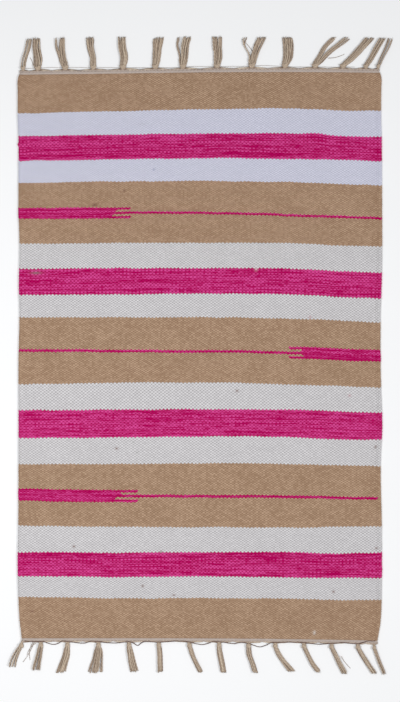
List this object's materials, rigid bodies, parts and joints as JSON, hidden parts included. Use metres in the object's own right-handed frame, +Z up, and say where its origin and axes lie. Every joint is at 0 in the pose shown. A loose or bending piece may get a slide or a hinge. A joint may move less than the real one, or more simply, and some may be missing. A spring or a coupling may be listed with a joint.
{
  "type": "kilim rug",
  "caption": "Flat-woven cotton kilim rug with tan, white and pink cross stripes, woven-in pink insets and knotted fringe tassels at both ends.",
  "frame": {"origin": "middle of the cloth's flat underside, which rests on the floor", "axes": "+Y along the rug's length towards its far end, +X across it to the right along the stripes, +Z up from the floor through the cloth"},
  "size_m": [0.63, 1.057, 0.0052],
  "materials": {
    "striped_cotton": "matte weft-faced plain weave in tan, white and pink cotton",
    "undyed_cotton": "matte twisted undyed cotton yarn"
  },
  "bodies": {
    "root": {"rug_cloth": "striped_cotton", "heading_far": "undyed_cotton", "tassel_far_01": "undyed_cotton", "tassel_far_02": "undyed_cotton", "tassel_far_03": "undyed_cotton", "tassel_far_04": "undyed_cotton", "tassel_far_05": "undyed_cotton", "tassel_far_06": "undyed_cotton", "tassel_far_07": "undyed_cotton", "tassel_far_08": "undyed_cotton", "tassel_far_09": "undyed_cotton", "tassel_far_10": "undyed_cotton", "tassel_far_11": "undyed_cotton", "tassel_far_12": "undyed_cotton", "tassel_far_13": "undyed_cotton", "tassel_far_14": "undyed_cotton", "heading_near": "undyed_cotton", "tassel_near_01": "undyed_cotton", "tassel_near_02": "undyed_cotton", "tassel_near_03": "undyed_cotton", "tassel_near_04": "undyed_cotton", "tassel_near_05": "undyed_cotton", "tassel_near_06": "undyed_cotton", "tassel_near_07": "undyed_cotton", "tassel_near_08": "undyed_cotton", "tassel_near_09": "undyed_cotton", "tassel_near_10": "undyed_cotton", "tassel_near_11": "undyed_cotton", "tassel_near_12": "undyed_cotton", "tassel_near_13": "undyed_cotton", "tassel_near_14": "undyed_cotton"}
  },
  "joints": []
}
